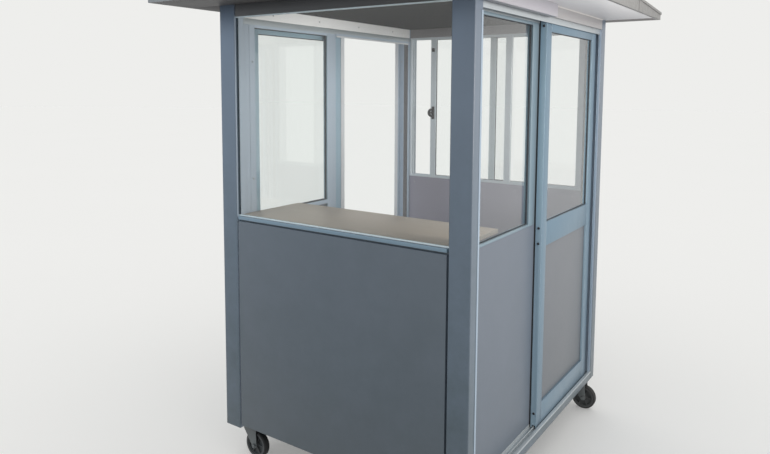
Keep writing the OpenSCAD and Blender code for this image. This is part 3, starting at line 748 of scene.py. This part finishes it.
def rear_window():
    """Slim frame with two sliding sashes; the left one stands a little open."""
    (x0, z0), (x1, z1) = opening("rear_wall", "header_ends")
    (_, y0, _), (_, y1, _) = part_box("rear_wall")
    lip, sheet, flange, play = 10 * MM, 2.2 * MM, 26 * MM, 1 * MM
    section = []
    for y in (y0 + 0.5 * MM, y0 + 30 * MM, y1 - 4.5 * MM):
        section += [(sheet, y), (lip, y), (lip, y + 2 * MM), (sheet, y + 2 * MM)]
    section[0] = (0.2 * MM, section[0][1])
    section += [(sheet, y1 + 1.7 * MM), (-flange, y1 + 1.7 * MM), (-flange, y1 + SNUG),
                (0.2 * MM, y1 + SNUG)]
    bm = bmesh.new()
    mitred_ring(bm, (x0, 0, z0), (x1, 0, z1), 1, section)
    ring = finish_piece("rear_window_frame", bm, "pale", "booth")
    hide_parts("window_frames")

    stiles = sorted((b for b in solids("window_sashes") if b[1].z - b[0].z > 0.5),
                    key=lambda b: b[0].x)
    panes = solids("window_glass")
    low_z, high_z, rail = z0 + sheet + play, z1 - sheet - play, 11 * MM
    to_jamb = x1 - sheet - play - stiles[-1][1].x
    frames, glass, seals = bmesh.new(), bmesh.new(), []
    for (a, b), stretch in zip((stiles[::2], stiles[1::2]), (0.0, to_jamb)):
        ya, yb = a[0].y, a[1].y
        edges = (a[1].x, b[0].x + stretch)
        for left, right in ((a[0].x, a[1].x), (b[0].x + stretch, b[1].x + stretch)):
            bar(frames, 2, low_z, high_z, eased((left, ya), (right, yb), 1.2 * MM))
        for bottom in (low_z, high_z - rail):
            bar(frames, 0, edges[0] + SNUG, edges[1] - SNUG,
                eased((ya, bottom), (yb, bottom + rail), 1.2 * MM))
        y = min((p[0].y for p in panes), key=lambda v: abs(v - ya - 6 * MM))
        pane = (Vector((edges[0] - SASH_ENTRY, y, low_z + rail - SASH_ENTRY)),
                Vector((edges[1] + SASH_ENTRY, y + 5 * MM, high_z - rail + SASH_ENTRY)))
        slab(glass, *pane)
        seals.append(pane)
    piece = finish_piece("rear_window_sashes", frames, "pale", "booth")
    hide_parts("window_sashes")
    piece = finish_piece("rear_window_panes", glass, "glass", "booth")
    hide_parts("window_glass")
    return seals


rear_panes = rear_window()


# ---- seals -----------------------------------------------------------------------------

def glazing_seals(name, panes, entry, width, rise, body):
    """Wedge seals on both faces of each pane, along the edge of its frame."""
    bm = bmesh.new()
    for low, high in panes:
        across = min(range(3), key=lambda i: high[i] - low[i])
        for face, out in ((low[across], -1), (high[across], 1)):
            edge = entry + TOUCH
            mitred_ring(bm, low, high, across, [
                (edge, face + out * TOUCH), (edge + width, face + out * TOUCH),
                (edge + 0.8 * width, face + out * 0.45 * rise),
                (edge + 0.35 * width, face + out * rise), (edge, face + out * rise)])
    finish_piece(name, bm, "gasket", body)


for node in ("fixed_leaf_glass", "door_glass", "left_door_glass"):
    glazing_seals(node.replace("glass", "seals"), solids(node), 8.0 * MM, 3.0 * MM, 3.6 * MM,
                  body_of(node))
glazing_seals("rear_window_seals", rear_panes, SASH_ENTRY, 2.0 * MM, 3.0 * MM, "booth")


def draught_piles():
    """Brush pile on the fixed leaves' meeting stiles, 1 mm short of the sliding doors."""
    bm = bmesh.new()
    for low, high in (b for b in stiles_of("fixed_leaf_frame") if b[1].y >= FRONT_LINE):
        x = layer(*outer_face(low, high), 6.8 * MM)
        bar(bm, 2, low.z + 5 * MM, high.z - 5 * MM,
            eased((x[0], high.y - 5.5 * MM), (x[1], high.y - 0.5 * MM), 1.2 * MM))
    finish_piece("draught_piles", bm, "pile", "booth", smooth=40)


draught_piles()


def sealant_lines():
    """Beads of sealant where the side headers meet the soffit."""
    bm = bmesh.new()
    low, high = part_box("header_sides")
    top = high[2]
    for x, out in ((high[0], 1), (low[0], -1)):
        bar(bm, 1, low[1], high[1], [
            (x + out * TOUCH, top - 4.5 * MM), (x + out * 1.6 * MM, top - 3.2 * MM),
            (x + out * 3.8 * MM, top - SNUG), (x + out * TOUCH, top - SNUG)])
    finish_piece("sealant_lines", bm, "sealant", "booth", smooth=50)


sealant_lines()


# ---- screws ----------------------------------------------------------------------------

def screw_head(bm, point, normal, radius):
    """A pan head with a cross recess, seated on a surface."""
    spin = Vector(normal).to_track_quat("Z", "Y").to_matrix()
    rings = [(1.0, 0.0), (1.0, 0.22), (0.92, 0.42), (0.72, 0.56), (0.56, 0.60)]
    cross = [0.46, 0.15, 0.15, 0.46]
    loops = [[(share, height)] * 16 for share, height in rings]
    loops += [[(cross[k % 4], height) for k in range(16)] for height in (0.60, 0.22)]
    made = []
    for loop in loops:
        made.append([bm.verts.new(Vector(point) + spin @ Vector((
            radius * share * math.cos(math.pi * (2 * k + 1) / 16),
            radius * share * math.sin(math.pi * (2 * k + 1) / 16), radius * height)))
            for k, (share, height) in enumerate(loop)])
    closed_solid(bm, made)


def screws(name, material, body, spots, radius):
    """One piece of many screws, from (point, way it looks) pairs."""
    bm = bmesh.new()
    for point, normal in spots:
        screw_head(bm, Vector(point) + TOUCH * Vector(normal), normal, radius)
    finish_piece(name, bm, material, body, smooth=50)


def edge_screws(node, levels):
    """Screws through the edges of a door's stiles into its rails."""
    low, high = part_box(node)
    x = (low[0] + high[0]) / 2
    return [((x, y, z), (0, out, 0)) for y, out in ((low[1], -1), (high[1], 1))
            for z in levels]


DOOR_SCREWS = (0.258, 1.037, 1.106, 1.983)
for node, name in (("door_frame", "door_screws"), ("left_door_frame", "left_door_screws")):
    screws(name, "dark_screw", body_of(node), edge_screws(node, DOOR_SCREWS), 5.8 * MM)


def spread(start, end, count):
    """Places at even distances between two ends."""
    return [start + (end - start) * k / (count - 1) for k in range(count)]


LEAF_SCREWS = (0.42, 1.30, 1.83)
JAMB_SCREWS = (0.45, 0.95, 1.45, 1.88)


def booth_screws():
    """Screws of the side headers, fixed leaves, jambs and wall liners."""
    spots = []
    low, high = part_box("header_sides")
    z = (low[2] + high[2]) / 2
    depth = min(h[0] - l[0] for l, h in solids("header_sides"))
    for x, out in ((low[0] + depth, 1), (high[0] - depth, -1)):
        spots += [((x, y, z), (out, 0, 0)) for y in spread(low[1] + 0.19, high[1] - 0.19, 4)]
    for low, high in front_stiles():
        inner, out = inner_face(low, high)
        spots += [((inner + out * 2 * MM, high.y - 19 * MM, z), (out, 0, 0))
                  for z in LEAF_SCREWS]
    for low, high in solids("door_jambs"):
        y, out = (high.y, -1) if high.y > mid_y else (low.y, 1)
        x = (low.x + high.x) / 2 + (18 * MM if low.x > mid_x else -18 * MM)
        spots += [((x, y + out * 2.5 * MM, z), (0, out, 0)) for z in JAMB_SCREWS]
    low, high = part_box("rear_wall")
    spots += [((x, low[1], z), (0, -1, 0)) for x in spread(low[0] + 0.04, high[0] - 0.04, 4)
              for z in (low[2] + 0.06, high[2] - 0.035)]
    low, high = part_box("front_wall")
    spots += [((x, high[1], z), (0, 1, 0)) for x in spread(low[0] + 0.04, high[0] - 0.04, 4)
              for z in (low[2] + 0.06, low[2] + 0.50)]
    screws("booth_screws", "bright_screw", "booth", spots, 4.0 * MM)


booth_screws()


def plate_bolts():
    """Hexagon bolts that hold the caster plates to the base."""
    bm = bmesh.new()
    reach_x, reach_y = 38 * MM, 31 * MM
    for low, high in solids("caster_plates"):
        if high.x - low.x < 0.05:
            continue
        cx, cy = (low.x + high.x) / 2, (low.y + high.y) / 2
        under = high.z - 4.0 * MM
        for sx in (-1, 1):
            for sy in (-1, 1):
                spot = (cx + sx * reach_x, cy + sy * reach_y, under - TOUCH)
                turned(bm, spot, (0, 0, -1), [(0, 0), (7.2 * MM, 0), (7.2 * MM, 0.9 * MM),
                                              (0, 0.9 * MM)])
                turned(bm, spot, (0, 0, -1), [(0, 0.9 * MM), (5.6 * MM, 0.9 * MM),
                                              (5.6 * MM, 3.9 * MM), (4.9 * MM, 4.4 * MM),
                                              (0, 4.4 * MM)], 6)
    finish_piece("caster_bolts", bm, "steel", "booth")


plate_bolts()


# ---- fittings --------------------------------------------------------------------------

LATCH_HEIGHT, CATCH_HEIGHT = 1.570, 1.946


def sash_latch():
    """Crescent latch on the left stile of the inner rear sash, with its small catch."""
    stile = min(solids("window_sashes"), key=lambda b: b[0].x)
    face_y = stile[0].y
    x, z = (stile[0].x + stile[1].x) / 2, LATCH_HEIGHT
    bm = bmesh.new()
    bar(bm, 1, face_y - 4 * MM, face_y - SNUG,
        eased((x - 8 * MM, z - 38 * MM), (x + 8 * MM, z + 38 * MM), 3 * MM))
    turned(bm, (x, face_y - 4 * MM, z), (0, -1, 0),
           [(0, 0), (7.5 * MM, 0), (7.5 * MM, 6 * MM), (6 * MM, 7.5 * MM), (0, 7.5 * MM)])
    outer, inside, steps = 31 * MM, 20 * MM, 20
    rings = []
    for k in range(steps + 1):
        a = math.radians(-95 + 190 * k / steps)
        swell = math.sin(math.pi * k / steps)
        r0, r1 = inside - 3 * MM * swell, inside + 2.5 * MM + (outer - inside) * swell
        rings.append([bm.verts.new((x - r * math.cos(a), y, z + r * math.sin(a)))
                      for r, y in ((r0, face_y - 5 * MM), (r1, face_y - 5 * MM),
                                   (r1, face_y - 9 * MM), (r0, face_y - 9 * MM))])
    closed_solid(bm, rings)
    bar(bm, 1, face_y - 9 * MM, face_y - 5 * MM,
        eased((x - 22 * MM, z - 4 * MM), (x + 3 * MM, z + 4 * MM), 1.5 * MM))
    bar(bm, 1, face_y - 9 * MM, face_y - SNUG,
        eased((x - 7 * MM, CATCH_HEIGHT - 11 * MM), (x + 7 * MM, CATCH_HEIGHT + 11 * MM),
              2 * MM))
    finish_piece("sash_latch", bm, "black_latch", "booth", smooth=35)


sash_latch()


def closing_strips():
    """Closing strip on the rear stile of each sliding door; white towards the cabin as painted
    sunlight, dark elsewhere.
    """
    for node, name in (("door_frame", "door_closing_strip"),
                       ("left_door_frame", "left_door_closing_strip")):
        low, high = max(stiles_of(node), key=lambda b: b[0].y)
        inner, out = inner_face(low, high)
        on_stile, past_it = 14 * MM, 17 * MM
        xs = layer(inner, out, 2.2 * MM)
        bm = bmesh.new()
        bar(bm, 2, low.z + 2 * MM, high.z - 2 * MM,
            eased((xs[0], high.y - on_stile), (xs[1], high.y + past_it), 0.7 * MM))
        bmesh.ops.recalc_face_normals(bm, faces=bm.faces)
        for face in bm.faces:
            # faces towards the cabin take the white of painted sunlight
            face.material_index = 0 if face.normal.x * out > 0.5 else 1
        piece = finish_piece(name, bm, "painted_sunlight_white", body_of(node))
        piece.data.materials.append(MATERIALS["gasket"])


closing_strips()


def jamb_shade_fills():
    """Dark strips in the unused channel of the rear jambs, as painted shade of the channel's
    depth, and the left one's lip, white as painted sunlight.
    """
    leaf = stiles_of("fixed_leaf_frame")
    fills, lips = bmesh.new(), bmesh.new()
    for low, high in solids("door_jambs"):
        if low.y < mid_y:
            continue
        side = 1 if low.x > mid_x else -1
        near = [b for b in leaf if b[0].x * side > 0][0]
        inner, outer = sorted((near[0].x * side, near[1].x * side))
        xs = sorted((side * (inner + 1.5 * MM), side * (outer + 2 * MM)))
        bar(fills, 2, low.z + 1 * MM, high.z - 1 * MM,
            eased((xs[0], low.y + 1.5 * MM), (xs[1], low.y + 5 * MM), 0.8 * MM))
        if side < 0:
            bar(lips, 2, low.z + 1 * MM, high.z - 1 * MM, eased(
                (low.x + SNUG, low.y - 34 * MM), (low.x + 2.2 * MM, low.y - 0.2 * MM),
                0.8 * MM))
    finish_piece("jamb_shade_fills", fills, "jamb_shade_fill", "booth")
    finish_piece("jamb_lip", lips, "painted_sunlight_white", "booth")


jamb_shade_fills()


def track_edges():
    """Cover with a bright lower bead along the inside of each head track, over the doorway; the
    bead's white is painted sunlight.
    """
    leaf_end = max(b[1].y for b in solids("fixed_leaf_frame"))
    jamb = max(b[0].y for b in solids("door_jambs"))
    cover, bead = bmesh.new(), bmesh.new()
    for low, high in solids("head_track"):
        inner, out = inner_face(low, high)
        xs = layer(inner, out, 2.2 * MM)
        bar(cover, 1, leaf_end, jamb,
            eased((xs[0], low.z - 7 * MM), (xs[1], low.z + 4 * MM), 0.6 * MM))
        xs = layer(inner, out, 3.6 * MM)
        bar(bead, 1, leaf_end, jamb,
            eased((xs[0], low.z - 15 * MM), (xs[1], low.z - 7.1 * MM), 0.9 * MM))
    finish_piece("track_covers", cover, "inner_alu", "booth")
    finish_piece("track_beads", bead, "painted_sunlight_white", "booth")


track_edges()


def leaf_covers():
    """Pale screw covers on the inside of the fixed leaves' front stiles."""
    bm = bmesh.new()
    for low, high in front_stiles():
        xs = layer(*inner_face(low, high), 2.0 * MM)
        bar(bm, 2, low.z + 14 * MM, high.z - 24 * MM,
            eased((xs[0], high.y - 36 * MM), (xs[1], high.y - 2 * MM), 0.9 * MM))
    finish_piece("leaf_covers", bm, "inner_alu", "booth")


leaf_covers()


def leaf_sheets():
    """Infill sheets on the outside of the fixed leaves, up to the middle of their mid rails."""
    bm = bmesh.new()
    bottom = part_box("sill_track")[1][2] + 1 * MM
    for side in (1, -1):
        bars = [b for b in solids("fixed_leaf_frame") if b[0].x * side > 0]
        stiles = [b for b in bars if b[1].z - b[0].z > TALL]
        rails = sorted((b for b in bars if b not in stiles), key=lambda b: b[0].z)
        outer = max(b[1].x for b in bars) if side > 0 else min(b[0].x for b in bars)
        xs = layer(outer, side, 1.3 * MM)
        top = (rails[1][0].z + rails[1][1].z) / 2
        front, rear = min(b[0].y for b in stiles), max(b[1].y for b in stiles)
        bar(bm, 2, bottom, top,
            eased((xs[0], front + 1 * MM), (xs[1], rear - 7 * MM), 0.4 * MM))
    finish_piece("leaf_sheets", bm, "leaf_infill", "booth")


leaf_sheets()


def post_edge_strips():
    """Bright strips along the rear edges of the front posts, on their outer sides."""
    bm = bmesh.new()
    for low, high in solids("posts"):
        if low.y > mid_y:
            continue
        xs = layer(*outer_face(low, high), 1.4 * MM)
        bar(bm, 2, low.z + 4 * MM, high.z - 90 * MM,
            eased((xs[0], high.y - 14 * MM), (xs[1], high.y - 1.2 * MM), 0.5 * MM))
    finish_piece("post_edge_strips", bm, "post_edge_strip", "booth")


post_edge_strips()


def fascia_joints():
    """Lap plates over the joints of the fascia sheets, one a side."""
    bm = bmesh.new()
    low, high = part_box("fascia")
    from_rear, half_width = 0.415, 0.030
    y = high[1] - from_rear
    for x, out in ((high[0], 1), (low[0], -1)):
        x0, x1 = sorted((x + out * TOUCH, x + out * 1.4 * MM))
        z1 = fascia_top(y) - 1.0 * MM
        bar(bm, 1, y - half_width, y + half_width,
            [(x0, low[2] + 0.3 * MM), (x1, low[2] + 0.3 * MM), (x1, z1), (x0, z1)])
    finish_piece("fascia_joints", bm, "roof", "booth")


def fascia_top(y):
    """Height of the fascia's upper edge, which follows the slope of the deck."""
    (_, y0, _), (_, y1, z1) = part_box("fascia")
    verts = [v.co for v in frame["nodes"]["fascia"].data.vertices]
    z0 = max(v.z for v in verts if v.y > y1 - 1 * MM)
    return z1 + (z0 - z1) * (y - y0) / (y1 - y0)


fascia_joints()


def roof_seams():
    """Folded seams of the roof sheets down the slope, and their screws with washers."""
    (x0, y0, _), (x1, y1, z_high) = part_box("roof_deck")
    verts = [v.co for v in frame["nodes"]["roof_deck"].data.vertices]
    z_low = max(v.z for v in verts if v.y > y1 - 1 * MM)
    bm = bmesh.new()
    for x in spread(x0 + 12 * MM, x1 - 12 * MM, 5):
        loops = []
        for y, z in ((y0 + 1 * MM, z_high), (y1 - 1 * MM, z_low)):
            loops.append([bm.verts.new((x + dx, y, z + dz)) for dx, dz in (
                (-11 * MM, SNUG), (-7 * MM, 2.6 * MM), (7 * MM, 2.6 * MM),
                (11 * MM, SNUG))])
        closed_solid(bm, loops)
    finish_piece("roof_seams", bm, "roof", "booth")
    bm = bmesh.new()
    for y in spread(y0 + 0.12, y1 - 0.12, 4):
        z = z_high + (z_low - z_high) * (y - y0) / (y1 - y0)
        for x in spread(x0 + 12 * MM, x1 - 12 * MM, 5)[:-1]:
            for share in (0.2, 0.5, 0.8):
                spot = (x + share * (x1 - x0 - 24 * MM) / 4, y, z)
                turned(bm, spot, (0, 0, 1), [(0, 0), (6.5 * MM, 0), (5.5 * MM, 1.3 * MM),
                                             (0, 1.3 * MM)], 20)
                turned(bm, spot, (0, 0, 1), [(0, 1.3 * MM), (3.8 * MM, 1.3 * MM),
                                             (3.6 * MM, 2.6 * MM), (0, 2.6 * MM)], 6)
    finish_piece("roof_screws", bm, "bright_screw", "booth")


roof_seams()


# ---- surroundings ----------------------------------------------------------------------

BACKDROP = (0.855, 0.855, 0.838)
GROUND_LEFT = (0.10, 0.10, 0.105, 1)
GROUND_RIGHT = (0.30, 0.30, 0.31, 1)


def studio():
    """Pale floor that runs into a pale backdrop, and soft lamps: warm from the right, cool
    from the front, one under the roof's right side and one in the cabin. None lights glass."""
    world = bpy.data.worlds.new("studio")
    bpy.context.scene.world = world
    world.use_nodes = True
    tree = world.node_tree
    heading = add(tree, "ShaderNodeTexCoord")
    part = add(tree, "ShaderNodeSeparateXYZ", {0: heading.outputs["Generated"]})
    side = add(tree, "ShaderNodeMapRange", {
        "Value": part.outputs["X"], "From Min": -0.2, "From Max": 0.9})
    ground = add(tree, "ShaderNodeMix", {"Factor": side.outputs[0], "A": GROUND_LEFT,
                                         "B": GROUND_RIGHT}, data_type="RGBA")
    below = add(tree, "ShaderNodeMapRange", {
        "Value": part.outputs["Z"], "From Min": -0.03, "From Max": -0.10})
    sky = add(tree, "ShaderNodeMix", {"Factor": below.outputs[0], "A": (*BACKDROP, 1),
                                      "B": ground.outputs["Result"]}, data_type="RGBA")
    tree.links.new(sky.outputs["Result"], tree.nodes["Background"].inputs["Color"])

    bm = bmesh.new()
    bmesh.ops.create_grid(bm, x_segments=2, y_segments=2, size=60.0)
    mesh = bpy.data.meshes.new("studio_floor")
    bm.to_mesh(mesh)
    bm.free()
    share = 0.8
    f = Finish("studio_floor", (share, share, share), 1.0, specular=0.0)
    f.mottle(0.4, 0.01)
    f.shader.inputs["Emission Color"].default_value = (*BACKDROP, 1)
    f.shader.inputs["Emission Strength"].default_value = 1.0 - share
    mesh.materials.append(f.material)
    floor = bpy.data.objects.new("studio_floor", mesh)
    floor.visible_diffuse = False
    bpy.context.scene.collection.objects.link(floor)

    lit = bpy.data.collections.new("lit_by_lamps")
    for piece in bpy.context.scene.collection.all_objects:
        if piece is floor or piece.type != "MESH":
            continue
        if MATERIALS["glass"] not in piece.data.materials[:]:
            lit.objects.link(piece)
    walls = bpy.data.collections.new("lit_cabin_walls")
    for piece in lit.objects:
        if piece.name != "ceiling_finished":
            walls.objects.link(piece)
    under_roof = bpy.data.collections.new("lit_under_roof")
    under_roof.objects.link(bpy.data.objects["soffit_finished"])
    lights = [  # name, place, aims at, size, power, colour, what it lights
        ("key_right", (3.20, -0.4, 2.00), (0.6, 0.0, 1.90), 1.2, 78.0, (1.0, 0.92, 0.87), lit),
        ("fill_front", (-1.2, -2.7, 2.5), (-0.2, -0.7, 2.0), 1.2, 30.0, (0.70, 0.84, 1.0), lit),
        ("bounce_right", (2.1, 0.0, 1.25), (0.80, 0.0, 2.07), 1.4, 28.0, (1.0, 0.99, 0.98),
         under_roof),
        ("cabin_glow", (0.25, -0.15, 1.86), (-0.6, 0.1, 1.96), 0.5, 3.0, (1.0, 0.98, 0.97),
         walls),
    ]
    for name, place, target, size, power, color, receivers in lights:
        data = bpy.data.lights.new(name, "AREA")
        data.size = size
        data.energy = power
        data.color = color
        lamp = bpy.data.objects.new(name, data)
        lamp.location = place
        aim = Vector(target) - Vector(place)
        lamp.rotation_euler = aim.to_track_quat("-Z", "Y").to_euler()
        lamp.visible_camera = False
        lamp.visible_glossy = name == "key_right"
        lamp.light_linking.receiver_collection = receivers
        bpy.context.scene.collection.objects.link(lamp)
    bpy.context.scene.view_settings.view_transform = "Standard"


studio()
